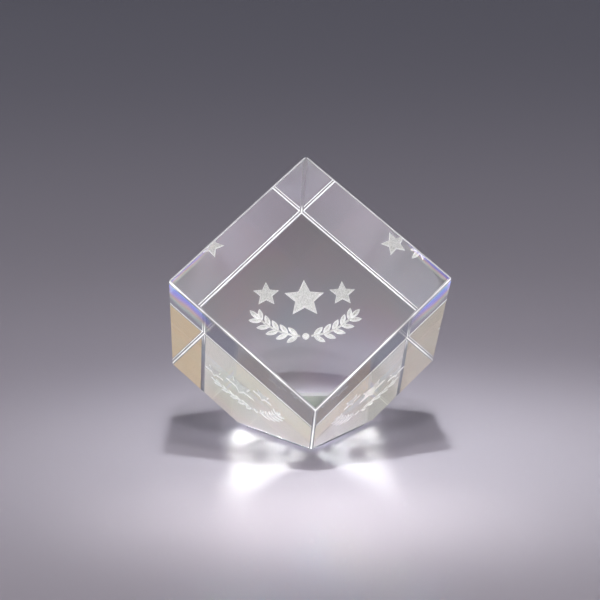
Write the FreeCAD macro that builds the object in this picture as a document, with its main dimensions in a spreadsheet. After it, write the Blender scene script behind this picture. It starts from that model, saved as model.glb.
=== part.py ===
"""Crystal award: one solid cube of optical crystal standing on a cut-off corner.

Row frame, in millimetres: +Z is up along the cube's body diagonal, which passes through the
peak and the middle of the base; +X is the viewer's right and -Y is the side with the clear
front face. The origin is the middle of the underside, where the award meets the shelf.

The artwork is etched into the back face and filled with white frost. It is drawn on that
face, with local x to the right, y up the face and z into the crystal.
"""
import FreeCAD, Part
import math
import os
import Sketcher

Vector = FreeCAD.Vector
Rotation = FreeCAD.Rotation

# Driving dimensions: alias, value, meaning. Lengths in mm, angles in degrees.
DIMENSIONS = [
    ("edge", 60.0, "cube edge before the corner is cut off"),
    ("cut_share", 0.5, "share of each edge that the cut-off corner takes"),
    ("arris", 0.85, "leg of the polished 45 degree arris on every edge"),
    ("pad_thickness", 0.35, "clear non-slip pad"),
    ("film_thickness", 0.10, "adhesive film between the pad and the crystal"),
    ("pad_radius", 22.6, "pad, middle to the meeting point of two sides"),
    ("pad_corner", 1.2, "radius of the pad's corners"),
    ("etch_depth", 0.6, "depth of the etched artwork"),
    ("wall_run", 0.4, "how far a leaf's etched wall slopes in over its depth"),
    ("star_rise", 11.5, "centre star above the middle of the face"),
    ("star_radius", 6.6, "centre star, middle to point"),
    ("side_star_rise", 13.2, "side stars above the middle of the face"),
    ("side_star_radius", 4.3, "side stars, middle to point"),
    ("side_star_reach", 12.0, "side stars to the left and right of the middle"),
    ("waist_share", 0.47, "a star's inner corners, as a share of its radius"),
    ("floor_share", 0.86, "a star's etched floor, as a share of its mouth"),
    ("wreath_rise", 18.6, "middle of the wreath's arc above the middle of the face"),
    ("wreath_radius", 20.0, "radius of the wreath's stems"),
    ("stem_width", 0.6, "laurel stem"),
    ("stem_depth", 0.35, "depth of the laurel stem"),
    ("stem_start", 5.0, "angle from the bottom of the wreath to where a stem starts"),
    ("stem_sweep", 41.0, "angle that a stem covers"),
    ("leaf_start", 7.0, "angle from the bottom of the wreath to the first leaves"),
    ("leaf_sweep", 36.0, "angle from the first to the last pair of leaves"),
    ("leaf_pairs", 5, "pairs of leaves on a stem"),
    ("leaf_length", 4.2, "leaf from base to tip"),
    ("leaf_radius", 3.15, "radius of a leaf's two sides"),
    ("leaf_tilt", 38.0, "angle between a leaf and its stem"),
    ("tie_radius", 1.1, "round tie where the two stems meet"),
]

FACE_LEAN = math.degrees(math.acos(1 / math.sqrt(3)))  # the back face from level
FACE_DIAGONAL = "(sheet.edge * sqrt(2))"
BASE_CORNER_ANGLES = (-90, 30, 150)  # the base is a triangle with one corner at the front
POINTS_ON_A_STAR = 5
CENTRE = 3  # an arc's centre, as a point number in a sketch constraint

doc = FreeCAD.newDocument("crystal_award")
sheet = doc.addObject("Spreadsheet::Sheet", "sheet")


def fill_sheet():
    for row, (alias, value, meaning) in enumerate(DIMENSIONS, start=1):
        sheet.set(f"A{row}", meaning)
        sheet.set(f"B{row}", str(value))
        sheet.setAlias(f"B{row}", alias)
    doc.recompute()


# ---- Helpers -------------------------------------------------------------------------------


def bind(item, **expressions):
    """Bind properties to expressions; a double underscore in a name stands for a dot."""
    for name, expression in expressions.items():
        item.setExpression(name.replace("__", "."), expression)


def make_body(label):
    body = doc.addObject("PartDesign::Body", label)
    body.Label = label
    return body


def origin_feature(body, role):
    return next(item for item in body.Origin.OriginFeatures if item.Role == role)


def make_sketch(body, name, plane="XY_Plane"):
    sketch = body.newObject("Sketcher::SketchObject", name)
    sketch.AttachmentSupport = [(origin_feature(body, plane), "")]
    sketch.MapMode = "FlatFace"
    return sketch


def bind_size(sketch, constraint, name, expression):
    """Add a sketch constraint with a name and a bound value."""
    sketch.renameConstraint(sketch.addConstraint(constraint), name)
    sketch.setExpression(f"Constraints.{name}", expression)


def fix_point(sketch, name, item, point, right, up):
    """Hold a point of a line or arc at an expression right of and above the sketch's origin."""
    start = sketch.getPoint(item, point)
    for axis, value, expression in (("X", start.x, right), ("Y", start.y, up)):
        constraint = Sketcher.Constraint(f"Distance{axis}", -1, 1, item, point, value)
        bind_size(sketch, constraint, f"{name}_{axis}", expression)


def draw_polygon(sketch, corners):
    """A closed outline of straight sides, whose corners are pairs of expressions."""
    count = len(corners)
    rough = [Vector(i, i * i, 0) for i in range(count)]
    for i in range(count):
        sketch.addGeometry(Part.LineSegment(rough[i], rough[(i + 1) % count]))
    for i, (right, up) in enumerate(corners):
        sketch.addConstraint(Sketcher.Constraint("Coincident", i, 2, (i + 1) % count, 1))
        fix_point(sketch, f"corner{i}", i, 1, right, up)


def put_on_back_face(item, up, right="0", turn=0):
    """Place an object drawn in the plane z = 0 on the back face. Right and up are measured
    from the middle of the face, and turn is in the face, in degrees."""
    lean = Rotation(Vector(1, 0, 0), FACE_LEAN)
    item.Placement = FreeCAD.Placement(Vector(), lean * Rotation(Vector(0, 0, 1), turn))
    along = f"({FACE_DIAGONAL} / 2 + {up})"
    corner_cut_off = "sheet.cut_share * sheet.edge / sqrt(3)"
    lowest = f"sheet.pad_thickness + sheet.film_thickness - {corner_cut_off}"
    bind(
        item,
        Placement__Base__x=right,
        Placement__Base__y=f"{along} / sqrt(3)",
        Placement__Base__z=f"{along} * sqrt(2 / 3) + {lowest}",
    )


# ---- Crystal -------------------------------------------------------------------------------


def make_polished_block():
    """The cube with its lowest corner cut off flat and an arris on every edge."""
    body = make_body("polished_block")
    half = f"{FACE_DIAGONAL} / 2"
    square = make_sketch(body, "back_square")
    draw_polygon(square, [("0", "0"), (half, half), ("0", FACE_DIAGONAL), (f"-{half}", half)])
    cube = body.newObject("PartDesign::Pad", "cube")
    cube.Profile = square
    bind(cube, Length="sheet.edge")
    doc.recompute()

    reach = "sheet.cut_share * sheet.edge"
    wedge = make_sketch(body, "base_wedge", "YZ_Plane")
    draw_polygon(wedge, [("0", "0"), (f"{reach} / sqrt(2)", "0"), ("0", reach)])
    base_cut = body.newObject("PartDesign::Pocket", "base_cut")
    base_cut.Profile = wedge
    base_cut.SideType = "Symmetric"
    bind(base_cut, Length="2 * sheet.edge")
    doc.recompute()
    cut_volume = cube.Shape.Volume - base_cut.Shape.Volume
    corner_volume = (sheet.cut_share * sheet.edge) ** 3 / 6
    assert math.isclose(cut_volume, corner_volume, rel_tol=1e-6), "the base cut missed the corner"

    arrises = body.newObject("PartDesign::Chamfer", "arrises")
    arrises.Base = (base_cut, [f"Edge{i + 1}" for i in range(len(base_cut.Shape.Edges))])
    bind(arrises, Size="sheet.arris")
    put_on_back_face(body, up=f"(-{half})")
    return body


def make_crystal_block(block, frost):
    """The polished block with the artwork's pockets taken out of its back face."""
    artwork = doc.addObject("Part::Compound", "artwork")
    artwork.Links = frost
    crystal = doc.addObject("Part::Cut", "crystal_block")
    crystal.Label = "crystal_block"
    crystal.Base = block
    crystal.Tool = artwork
    return crystal


# ---- Frosted artwork -----------------------------------------------------------------------


def kite_corners(radius):
    """One fifth of a star: its middle, two inner corners and the point between them."""
    half_turn = math.pi / POINTS_ON_A_STAR
    side = f"{radius} * sheet.waist_share * {math.sin(half_turn)}"
    rise = f"{radius} * sheet.waist_share * {math.cos(half_turn)}"
    return [("0", "0"), (side, rise), ("0", radius), (f"-{side}", rise)]


def make_star(label, radius, up, right="0"):
    """A five-pointed star whose walls slope in from its mouth to its floor."""
    body = make_body(label)
    mouth = make_sketch(body, f"{label}_mouth")
    draw_polygon(mouth, kite_corners(radius))
    floor = make_sketch(body, f"{label}_floor")
    draw_polygon(floor, kite_corners(f"{radius} * sheet.floor_share"))
    bind(floor, AttachmentOffset__Base__z="sheet.etch_depth")
    ray = body.newObject("PartDesign::AdditiveLoft", f"{label}_ray")
    ray.Profile = mouth
    ray.Sections = [floor]
    doc.recompute()
    ring = body.newObject("PartDesign::PolarPattern", f"{label}_ring")
    ring.Originals = [ray]
    ring.Axis = (origin_feature(body, "Z_Axis"), [""])
    ring.Angle = 360
    ring.Occurrences = POINTS_ON_A_STAR
    body.Tip = ring
    put_on_back_face(body, up, right)
    return body


def draw_leaf(sketch, radius):
    """A lens of two arcs along the sketch's x, from the leaf's base at the origin."""
    middle = "sheet.leaf_length / 2"
    offset = "sqrt(sheet.leaf_radius ^ 2 - (sheet.leaf_length / 2) ^ 2)"
    for side, sign in enumerate(("-", "")):
        turn = math.pi * (1 / 2 + side)
        circle = Part.Circle(Vector(1, 2 * side - 1, 0), Vector(0, 0, 1), 2)
        sketch.addGeometry(Part.ArcOfCircle(circle, turn - 1, turn + 1))
        fix_point(sketch, f"centre{side}", side, CENTRE, middle, f"{sign}{offset}")
        bind_size(sketch, Sketcher.Constraint("Radius", side, 2.0), f"radius{side}", radius)
    sketch.addConstraint(Sketcher.Constraint("Coincident", 0, 1, 1, 2))
    sketch.addConstraint(Sketcher.Constraint("Coincident", 0, 2, 1, 1))


def make_leaf(body, name, station, tilt):
    """A leaf rooted on the stem at an angle round the wreath; tilt is from the stem."""
    sections = []
    for level, inset, depth in (("mouth", "0", "0"), ("floor", "sheet.wall_run", "sheet.etch_depth")):
        sketch = make_sketch(body, f"{name}_{level}")
        draw_leaf(sketch, f"sheet.leaf_radius - {inset}")
        bind(
            sketch,
            AttachmentOffset__Base__x=f"sheet.wreath_radius * cos({station})",
            AttachmentOffset__Base__y=f"sheet.wreath_radius * sin({station})",
            AttachmentOffset__Base__z=depth,
            AttachmentOffset__Rotation__Angle=f"{station} + 90 + {tilt}",
        )
        sections.append(sketch)
    leaf = body.newObject("PartDesign::AdditiveLoft", name)
    leaf.Profile = sections[0]
    leaf.Sections = sections[1:]
    doc.recompute()
    return leaf


def make_laurel_right():
    """One laurel branch: a curved stem, pairs of leaves along it and a leaf at its tip.
    Its body's z axis is the wreath's middle, and angles count from the wreath's bottom."""
    body = make_body("laurel_frost_right")
    section = make_sketch(body, "stem_section", "XZ_Plane")
    inner = "sheet.wreath_radius - sheet.stem_width / 2"
    outer = "sheet.wreath_radius + sheet.stem_width / 2"
    depth = "sheet.stem_depth"
    draw_polygon(section, [(inner, "0"), (outer, "0"), (outer, depth), (inner, depth)])
    section.AttachmentOffset = FreeCAD.Placement(Vector(), Rotation(Vector(0, 1, 0), 1))
    bind(section, AttachmentOffset__Rotation__Angle="sheet.stem_start")
    stem = body.newObject("PartDesign::Revolution", "stem")
    stem.Profile = section
    stem.ReferenceAxis = (origin_feature(body, "Z_Axis"), [""])
    bind(stem, Angle="sheet.stem_sweep")
    doc.recompute()

    make_leaf(body, "tip_leaf", "(sheet.stem_start + sheet.stem_sweep)", "0")
    inner_leaf = make_leaf(body, "inner_leaf", "sheet.leaf_start", "sheet.leaf_tilt")
    outer_leaf = make_leaf(body, "outer_leaf", "sheet.leaf_start", "(-sheet.leaf_tilt)")
    leaves = body.newObject("PartDesign::PolarPattern", "leaves")
    leaves.Originals = [inner_leaf, outer_leaf]
    leaves.Axis = (origin_feature(body, "Z_Axis"), [""])
    bind(leaves, Angle="sheet.leaf_sweep", Occurrences="sheet.leaf_pairs")
    body.Tip = leaves
    put_on_back_face(body, "sheet.wreath_rise", turn=-90)
    return body


def make_laurel_left(right_branch):
    mirrored = doc.addObject("Part::Mirroring", "laurel_frost_left")
    mirrored.Label = "laurel_frost_left"
    mirrored.Source = right_branch
    mirrored.Normal = Vector(1, 0, 0)
    return mirrored


def make_tie():
    """The round tie between the stems, with the same sloping wall as the leaves."""
    tie = doc.addObject("Part::Cone", "tie_frost")
    tie.Label = "tie_frost"
    slope = "sheet.wall_run"
    bind(tie, Radius1="sheet.tie_radius", Radius2=f"sheet.tie_radius - {slope}", Height="sheet.etch_depth")
    put_on_back_face(tie, "(sheet.wreath_rise - sheet.wreath_radius)")
    return tie


# ---- Pad under the base --------------------------------------------------------------------


def make_triangle_sheet(label, thickness, bottom):
    """A level three-cornered sheet with rounded corners, under the flat base."""
    body = make_body(label)
    outline = make_sketch(body, f"{label}_outline")
    corners = []
    for angle in BASE_CORNER_ANGLES:
        corners.append((f"sheet.pad_radius * cos({angle})", f"sheet.pad_radius * sin({angle})"))
    draw_polygon(outline, corners)
    slab = body.newObject("PartDesign::Pad", f"{label}_slab")
    slab.Profile = outline
    bind(slab, Length=thickness)
    doc.recompute()
    upright = [
        f"Edge{i}"
        for i, edge in enumerate(slab.Shape.Edges, start=1)
        if abs(edge.tangentAt(edge.FirstParameter).z) > 0.5
    ]
    rounding = body.newObject("PartDesign::Fillet", f"{label}_rounding")
    rounding.Base = (slab, upright)
    bind(rounding, Radius="sheet.pad_corner")
    bind(body, Placement__Base__z=bottom)
    return body


# ---- Assembly ------------------------------------------------------------------------------


def check_document(nodes):
    """Stop unless every feature worked and every node is one valid closed shape."""
    for item in doc.Objects:
        faults = {"Invalid", "Error"} & set(item.State)
        assert not faults, f"{item.Label}: {faults}"
    for node in nodes:
        shape = node.Shape
        assert not shape.isNull() and shape.isValid(), f"{node.Label}: bad shape"
        assert len(shape.Solids) == 1, f"{node.Label}: {len(shape.Solids)} solids"


def write_nodes(nodes):
    os.makedirs("parts", exist_ok=True)
    for node in nodes:
        node.Shape.exportStep(f"parts/{node.Label}.step")
        box = node.Shape.BoundBox
        size = f"{box.XLength:.2f} x {box.YLength:.2f} x {box.ZLength:.2f} mm"
        print(f"{node.Label}: {size}, {node.Shape.Volume:.2f} mm3, z {box.ZMin:.2f} to {box.ZMax:.2f}")


fill_sheet()
side_reach = "sheet.side_star_reach"
laurel_right = make_laurel_right()
frost_fills = [
    make_star("centre_star_frost", "sheet.star_radius", "sheet.star_rise"),
    make_star("left_star_frost", "sheet.side_star_radius", "sheet.side_star_rise", f"-{side_reach}"),
    make_star("right_star_frost", "sheet.side_star_radius", "sheet.side_star_rise", side_reach),
    laurel_right,
    make_laurel_left(laurel_right),
    make_tie(),
]
polished_block = make_polished_block()
crystal_block = make_crystal_block(polished_block, frost_fills)
base_pad = make_triangle_sheet("base_pad", "sheet.pad_thickness", "0")
adhesive_film = make_triangle_sheet("adhesive_film", "sheet.film_thickness", "sheet.pad_thickness")
doc.recompute()

all_nodes = [crystal_block, base_pad, adhesive_film] + frost_fills
check_document(all_nodes)
frost_volume = sum(fill.Shape.Volume for fill in frost_fills)
pocket_volume = polished_block.Shape.Volume - crystal_block.Shape.Volume
assert math.isclose(frost_volume, pocket_volume, rel_tol=1e-4), "frost and pockets differ"
write_nodes(all_nodes)
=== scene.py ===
"""Crystal award on a pale floor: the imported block, its pad and its frosted artwork."""
import math

import bmesh
import bpy
from mathutils import Matrix, Vector


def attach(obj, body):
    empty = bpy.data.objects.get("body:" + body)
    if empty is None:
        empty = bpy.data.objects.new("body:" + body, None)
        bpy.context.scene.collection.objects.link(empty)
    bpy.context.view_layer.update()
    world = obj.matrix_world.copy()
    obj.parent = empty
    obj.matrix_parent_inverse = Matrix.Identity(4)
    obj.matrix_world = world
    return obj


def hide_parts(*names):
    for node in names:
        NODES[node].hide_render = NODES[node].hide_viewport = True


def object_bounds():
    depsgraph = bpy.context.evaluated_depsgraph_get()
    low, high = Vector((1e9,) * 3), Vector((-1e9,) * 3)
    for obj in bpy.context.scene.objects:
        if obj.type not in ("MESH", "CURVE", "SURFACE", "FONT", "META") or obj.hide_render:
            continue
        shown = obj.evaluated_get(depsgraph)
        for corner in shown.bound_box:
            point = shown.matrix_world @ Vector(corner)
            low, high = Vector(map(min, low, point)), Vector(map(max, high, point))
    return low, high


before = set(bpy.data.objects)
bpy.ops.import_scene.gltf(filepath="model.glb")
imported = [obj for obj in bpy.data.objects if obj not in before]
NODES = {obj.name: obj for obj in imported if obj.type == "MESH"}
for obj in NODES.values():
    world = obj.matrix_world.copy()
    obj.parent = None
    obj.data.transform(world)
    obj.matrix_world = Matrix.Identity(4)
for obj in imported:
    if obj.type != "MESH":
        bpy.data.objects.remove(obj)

CAD_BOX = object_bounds()
MM = 0.001
FROST_NODES = [name for name in NODES if "_frost" in name]

# The cube stands on a corner, so each main face leans this far from level.
FACE_LEAN = math.acos(1 / math.sqrt(3))
# Directions of the cube's edges, which are also the upward normals of its three upper faces.
# The first is the front face's.
CUBE_AXES = [Vector((math.sin(FACE_LEAN) * math.cos(math.radians(turn)),
                     math.sin(FACE_LEAN) * math.sin(math.radians(turn)),
                     math.cos(FACE_LEAN))) for turn in (-90, 30, 150)]
# Every main face looks along one of these or straight against it. The last is for the flat base.
MAIN_NORMALS = [*CUBE_AXES, Vector((0, 0, 1))]
# Direction into the crystal from the etched back face.
INTO_CRYSTAL = CUBE_AXES[0]
# Two directions closer than this cosine count as the same face.
SAME_FACE = 0.98
# How far the visible frost and film reach into the crystal, so light in the block meets them first.
CONTACT = 0.03 * MM

CRYSTAL_IOR = 1.517
BLACK = (0, 0, 0)
WHITE = (1, 1, 1)


# Helpers for materials

def new_material(name):
    material = bpy.data.materials.new(name)
    material.use_nodes = True
    tree = material.node_tree
    return material, tree, tree.nodes["Principled BSDF"]


def use_material(thing, material):
    thing.data.materials.clear()
    thing.data.materials.append(material)


def grey(level):
    return (level, level, level)


def add_node(tree, kind, **settings):
    node = tree.nodes.new(kind)
    for name, value in settings.items():
        setattr(node, name, value)
    return node


def object_place(tree):
    """Where a point lies in the object's own coordinates, in metres."""
    return add_node(tree, "ShaderNodeTexCoord").outputs["Object"]


def surface_normal(tree):
    """The flat normal, on the side of the surface that the light path comes from."""
    return add_node(tree, "ShaderNodeNewGeometry").outputs["True Normal"]


def noise(tree, scale, detail=2.0):
    texture = add_node(tree, "ShaderNodeTexNoise")
    texture.inputs["Scale"].default_value = scale
    texture.inputs["Detail"].default_value = detail
    tree.links.new(object_place(tree), texture.inputs["Vector"])
    return texture.outputs["Fac"]


def ramp(tree, source, stops):
    """Colours or grey levels picked by a value; stops are (place, colour)."""
    node = add_node(tree, "ShaderNodeValToRGB")
    points = node.color_ramp.elements
    while len(points) < len(stops):
        points.new(0.5)
    for point, (place, colour) in zip(points, stops):
        point.position = place
        point.color = (*colour, 1)
    tree.links.new(source, node.inputs["Fac"])
    return node.outputs["Color"]


def calculate(tree, operation, *values):
    """A Math node on one or two values, each a socket or a number."""
    node = add_node(tree, "ShaderNodeMath", operation=operation)
    for socket, value in zip(node.inputs, values):
        if isinstance(value, float):
            socket.default_value = value
        else:
            tree.links.new(value, socket)
    return node.outputs["Value"]


def scale_to(tree, source, low, high, start=0.0, end=1.0):
    """A value spread so that low becomes start and high becomes end, and held there beyond."""
    node = add_node(tree, "ShaderNodeMapRange")
    node.inputs["From Min"].default_value = low
    node.inputs["From Max"].default_value = high
    node.inputs["To Min"].default_value = start
    node.inputs["To Max"].default_value = end
    tree.links.new(source, node.inputs["Value"])
    return node.outputs["Result"]


def along(tree, source, direction):
    """How far a vector reaches in a direction."""
    node = add_node(tree, "ShaderNodeVectorMath", operation="DOT_PRODUCT")
    node.inputs[1].default_value = direction
    tree.links.new(source, node.inputs[0])
    return node.outputs["Value"]


def distance_from_mid_plane(tree, place):
    """How far a point is from the upright plane between the award's left and right halves."""
    return calculate(tree, "ABSOLUTE", along(tree, place, (1, 0, 0)))


# The crystal block

def add_painted_rainbow_glint(tree, shader, cube_middle):
    """Painted rainbow glints: split colours that glow from the surface beside the cube's left and right
    corners.

    They show on the downward faces from outside, and on the upward faces through the glass.
    """
    place = object_place(tree)
    waver = calculate(tree, "MULTIPLY", noise(tree, 90, 1.0), 5 * MM)
    reach = calculate(tree, "ADD", along(tree, place, CUBE_AXES[0]), waver)
    # The painted colours run forward from here. The waver moves them, so they end past the front face.
    first_colour = cube_middle + 22 * MM
    last_colour = cube_middle + 32.4 * MM
    across = scale_to(tree, reach, first_colour, last_colour)
    colours = [(0.0, BLACK),
               (0.18, (0.1, 0.16, 0.1)),
               (0.36, (0.22, 0.11, 0.05)),
               (0.56, (0.07, 0.03, 0.34)),
               (0.76, (0.0, 0.06, 0.42)),
               (1.0, (0.03, 0.22, 0.3))]
    tree.links.new(ramp(tree, across, colours), shader.inputs["Emission Color"])
    half_width = CAD_BOX[1][0]
    glint_starts = 0.693 * half_width
    glint_is_full = 0.813 * half_width
    corner = scale_to(tree, distance_from_mid_plane(tree, place), glint_starts, glint_is_full)
    downward = scale_to(tree, along(tree, surface_normal(tree), (0, 0, 1)), -0.1, -0.3)
    painted_glint_strength = calculate(tree, "MULTIPLY", corner, downward)
    tree.links.new(painted_glint_strength, shader.inputs["Emission Strength"])


def crystal_material(cube_middle):
    """Clear optical crystal with faint smudges, and a surface film that tints its reflections."""
    material, tree, shader = new_material("optical_crystal")
    shader.inputs["Base Color"].default_value = (0.985, 0.99, 0.99, 1)
    shader.inputs["IOR"].default_value = CRYSTAL_IOR
    shader.inputs["Transmission Weight"].default_value = 1.0
    smudge = ramp(tree, noise(tree, 45), [(0.55, BLACK), (0.8, grey(0.012))])
    tree.links.new(smudge, shader.inputs["Roughness"])
    film_nanometres = scale_to(tree, noise(tree, 30), 0, 1, 250, 650)
    tree.links.new(film_nanometres, shader.inputs["Thin Film Thickness"])
    shader.inputs["Thin Film IOR"].default_value = 1.38
    # Painted rainbow glints, given off as a glow beside the side corners.
    add_painted_rainbow_glint(tree, shader, cube_middle)
    return material


def distance_from_edge_line(tree, cube_middle):
    """How far a point on an arris is from the line halfway between the two faces beside it.

    Measured from the cube's middle along its axes, the two longest reaches are equal on that line.
    """
    place = object_place(tree)
    reaches = []
    for axis in CUBE_AXES:
        offset = calculate(tree, "SUBTRACT", along(tree, place, axis), cube_middle)
        reaches.append(calculate(tree, "ABSOLUTE", offset))
    first, second, third = reaches
    largest = calculate(tree, "MAXIMUM", calculate(tree, "MAXIMUM", first, second), third)
    smallest = calculate(tree, "MINIMUM", calculate(tree, "MINIMUM", first, second), third)
    total = calculate(tree, "ADD", calculate(tree, "ADD", first, second), third)
    between = calculate(tree, "SUBTRACT", calculate(tree, "SUBTRACT", total, largest), smallest)
    return calculate(tree, "SUBTRACT", largest, between)


def arris_material(cube_middle):
    """The narrow polished bevels: a painted glowing line down the middle, standing in for trapped
    light, with darker glass beside it.
    """
    material, tree, shader = new_material("polished_arris")
    shader.inputs["Base Color"].default_value = (0.97, 0.98, 1, 1)
    shader.inputs["IOR"].default_value = CRYSTAL_IOR
    shader.inputs["Transmission Weight"].default_value = 0.6
    haze = ramp(tree, noise(tree, 60, 1.0), [(0.35, grey(0.12)), (0.65, grey(0.2))])
    tree.links.new(haze, shader.inputs["Roughness"])
    # The last two stops are for the bevels round the base, which are far from any cube edge. They give
    # these a pale lavender painted glow.
    away = scale_to(tree, distance_from_edge_line(tree, cube_middle), 0, 1.5 * MM)
    line = ramp(tree, away, [(0.17, WHITE), (0.27, BLACK), (0.6, BLACK), (0.75, (0.42, 0.4, 0.48))])
    tree.links.new(line, shader.inputs["Emission Color"])
    # The painted glow is strong, from outside, on bevels that face forward and down. On those at the
    # back it is strong through the glass, where the normal is turned round.
    front_and_down = (0, -0.9, -0.44)
    bright = scale_to(tree, along(tree, surface_normal(tree), front_and_down), -0.2, 0.4)
    # The painted glow's strength also varies at random along the bevels.
    painted_sparkle = scale_to(tree, noise(tree, 35, 1.0), 0.35, 0.6, 0.3, 1.1)
    glow = calculate(tree, "MULTIPLY", bright, painted_sparkle)
    # The ridge that runs back from the top corner gets no painted glow, down to its lower end.
    place = object_place(tree)
    ridge_half_width = 1 * MM
    ridge_foot = 54 * MM
    off_centre = distance_from_mid_plane(tree, place)
    off_ridge = scale_to(tree, off_centre, ridge_half_width, 2 * ridge_half_width)
    below_ridge = scale_to(tree, along(tree, place, (0, 0, 1)), ridge_foot + 3 * MM, ridge_foot)
    painted_glow_shown = calculate(tree, "MAXIMUM", off_ridge, below_ridge)
    tree.links.new(calculate(tree, "MULTIPLY", glow, painted_glow_shown), shader.inputs["Emission Strength"])
    return material


def dress_block():
    """Crystal on the main faces, the arris look on the narrow faces between them."""
    block = NODES["crystal_block"]
    faces = block.data.polygons
    axis = CUBE_AXES[0]
    # The front and back faces lie equally far from the cube's middle along this axis. The middle
    # is on the upright line through the peak, so the other two axes give the same offset.
    offsets = [face.center.dot(axis) for face in faces if abs(face.normal.dot(axis)) > SAME_FACE]
    cube_middle = (max(offsets) + min(offsets)) / 2
    use_material(block, crystal_material(cube_middle))
    block.data.materials.append(arris_material(cube_middle))
    for face in faces:
        along_main = max(abs(face.normal.dot(normal)) for normal in MAIN_NORMALS)
        face.material_index = 0 if along_main > SAME_FACE else 1


# The pad, its film and the frost

def pad_material(name, middle, rim):
    """A faintly clouded sheet, darker and greener in the middle."""
    material, tree, shader = new_material(name)
    reach = add_node(tree, "ShaderNodeVectorMath", operation="LENGTH")
    tree.links.new(object_place(tree), reach.inputs[0])
    cloud = calculate(tree, "MULTIPLY", noise(tree, 300), 6 * MM)
    clouded_reach = calculate(tree, "ADD", cloud, reach.outputs["Value"])
    middle_ends = 14 * MM
    rim_starts = 40 * MM
    rimward = scale_to(tree, clouded_reach, middle_ends, rim_starts)
    colour = ramp(tree, rimward, [(0.0, middle), (1.0, rim)])
    tree.links.new(colour, shader.inputs["Base Color"])
    shader.inputs["Roughness"].default_value = 0.25
    shader.inputs["IOR"].default_value = 1.5
    return material


def frost_material():
    """Fine white grain, with a painted glow that makes the etched walls brighter than the etched floor.
    """
    material, tree, shader = new_material("white_frost")
    grain = ramp(tree, noise(tree, 2500, 3.0), [(0.35, grey(0.46)), (0.65, grey(0.74))])
    tree.links.new(grain, shader.inputs["Base Color"])
    shader.inputs["Roughness"].default_value = 0.5
    shader.inputs["Sheen Weight"].default_value = 0.3
    # Frost seen through the crystal at a glancing angle reflects totally, as metal does.
    total = add_node(tree, "ShaderNodeFresnel")
    total.inputs["IOR"].default_value = 1 / CRYSTAL_IOR
    tree.links.new(total.outputs["Fac"], shader.inputs["Metallic"])
    # A painted glow given off by the frost: full on the etched walls, standing in for their bright rim,
    # and about half as strong on the etched floor, which faces into the crystal.
    facing = along(tree, surface_normal(tree), INTO_CRYSTAL)
    glow = ramp(tree, facing, [(0.9, WHITE), (0.97, grey(0.45))])
    tree.links.new(glow, shader.inputs["Emission Color"])
    shader.inputs["Emission Strength"].default_value = 0.6
    return material


def visible_copy(node, shift):
    """A piece that replaces a node, moved by the shift where it is glued or fused to the crystal."""
    mesh = NODES[node].data.copy()
    piece = bpy.data.objects.new(f"{node}_look", mesh)
    bpy.context.scene.collection.objects.link(piece)
    form = bmesh.new()
    form.from_mesh(mesh)
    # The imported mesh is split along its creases. Joined up, it is one closed surface.
    bmesh.ops.remove_doubles(form, verts=form.verts, dist=1e-6)
    for vertex in form.verts:
        vertex.co += shift
    form.to_mesh(mesh)
    form.free()
    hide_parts(node)
    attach(piece, "root")
    return piece


def make_pad_film_and_frost():
    pad = visible_copy("base_pad", Vector((0, 0, 0)))
    use_material(pad, pad_material("clear_pad", (0.28, 0.31, 0.295), (0.7, 0.69, 0.75)))
    film = visible_copy("adhesive_film", Vector((0, 0, CONTACT)))
    use_material(film, pad_material("clear_adhesive", (0.3, 0.33, 0.315), (0.7, 0.7, 0.75)))
    frost = frost_material()
    for name in FROST_NODES:
        use_material(visible_copy(name, INTO_CRYSTAL * CONTACT), frost)


# The studio

def make_floor():
    bpy.ops.mesh.primitive_circle_add(vertices=128, radius=8.0, fill_type="NGON")
    floor = bpy.context.object
    floor.name = "floor"
    material, _, shader = new_material("floor")
    shader.inputs["Base Color"].default_value = (0.5, 0.475, 0.56, 1)
    shader.inputs["Roughness"].default_value = 0.52
    shader.inputs["IOR"].default_value = 1.45
    shader.inputs["Specular IOR Level"].default_value = 0.3
    use_material(floor, material)


def add_light(name, place, aim, power, colour, size, spread=180):
    """A rectangular lamp; places and sizes in metres, power in watts, spread in degrees."""
    data = bpy.data.lights.new(name, "AREA")
    data.energy = power
    data.color = colour
    data.shape = "RECTANGLE"
    data.size, data.size_y = size
    data.spread = math.radians(spread)
    light = bpy.data.objects.new(name, data)
    bpy.context.scene.collection.objects.link(light)
    light.location = place
    light.rotation_euler = (Vector(aim) - Vector(place)).to_track_quat("-Z", "Y").to_euler()


def add_light_down(name, across, back, power, colour, size, spread):
    """A narrow lamp that points straight down from a metre up."""
    height = 1.0
    add_light(name, (across, back, height), (across, back, 0), power, colour, (size, size), spread)


def add_light_around(name, azimuth, elevation, power, colour, size, spread=180):
    """A lamp that faces the award; azimuth runs from the front to the viewer's right."""
    middle = (0, 0, 0.04)
    distance = 1.3
    side, rise = math.radians(azimuth), math.radians(elevation)
    place = (distance * math.sin(side) * math.cos(rise),
             -distance * math.cos(side) * math.cos(rise),
             middle[2] + distance * math.sin(rise))
    add_light(name, place, middle, power, colour, size, spread)


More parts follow.
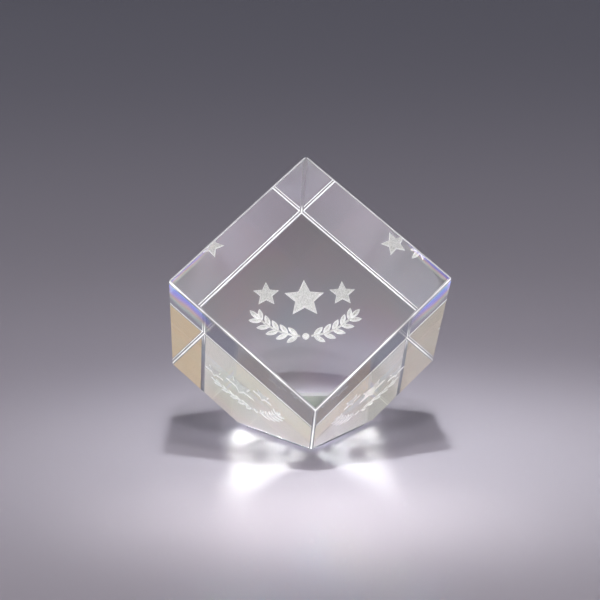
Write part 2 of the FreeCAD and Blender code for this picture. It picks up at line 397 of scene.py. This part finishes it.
def make_lights():
    add_light_down("key", across=0.022, back=-0.034, power=0.064,
                   colour=(0.97, 1, 0.95), size=0.09, spread=18)
    add_light_down("front_pool", across=0, back=-0.09, power=0.017,
                   colour=(1, 0.95, 0.86), size=0.06, spread=7)
    add_light_around("front_fill", azimuth=0, elevation=48, power=0.06,
                     colour=(1, 0.97, 1), size=(0.2, 0.2), spread=18)
    add_light("overhead", place=(0, -0.2, 1.4), aim=(0, -0.05, 0), power=1.35,
              colour=(1, 0.92, 0.95), size=(0.7, 0.7))
    add_light_around("front_key", azimuth=0, elevation=73, power=2.6,
                     colour=(1, 0.97, 0.97), size=(0.15, 0.15))
    add_light_around("warm_left", azimuth=-28, elevation=30, power=0.72,
                     colour=(1, 0.82, 0.52), size=(0.7, 0.7))
    add_light_around("warm_right", azimuth=28, elevation=28, power=0.82,
                     colour=(1, 0.71, 0.3), size=(0.7, 0.7))
    add_light_around("front_high", azimuth=-8, elevation=58, power=0.92,
                     colour=(1, 0.93, 0.82), size=(1.0, 0.5))
    add_light("backdrop", place=(-3.2, 2.2, 1.3), aim=(-2.2, 2.5, 0), power=5.2,
              colour=WHITE, size=(1.0, 1.0))


def make_world():
    world = bpy.data.worlds.new("studio")
    bpy.context.scene.world = world
    world.use_nodes = True
    background = world.node_tree.nodes["Background"]
    background.inputs["Color"].default_value = (0.142, 0.144, 0.161, 1)


def make_camera():
    data = bpy.data.cameras.new("camera")
    camera = bpy.data.objects.new("camera", data)
    bpy.context.scene.collection.objects.link(camera)
    data.lens = 125.2
    data.sensor_width = 36.0
    data.clip_start = 0.01
    data.clip_end = 100.0
    azimuth, elevation, roll = (math.radians(angle) for angle in (-2.75, 9.66, -0.24))
    back = Vector((math.sin(azimuth) * math.cos(elevation),
                   -math.cos(azimuth) * math.cos(elevation), math.sin(elevation)))
    target = Vector((-2.0, 0.0, 42.1)) * MM
    distance = 643.8 * MM
    camera.location = target + back * distance
    turn = (-back).to_track_quat("-Z", "Y").to_matrix() @ Matrix.Rotation(roll, 3, "Z")
    camera.rotation_euler = turn.to_euler()
    bpy.context.scene.camera = camera


def set_light_paths():
    """Keeps the light that the block bends onto the floor at full strength and fairly free of noise."""
    cycles = bpy.context.scene.cycles
    cycles.use_guiding = True
    cycles.sample_clamp_indirect = 0
    cycles.blur_glossy = 0.3


make_camera()
make_world()
make_floor()
dress_block()
make_pad_film_and_frost()
make_lights()
set_light_paths()
bpy.context.scene.view_settings.view_transform = "Standard"
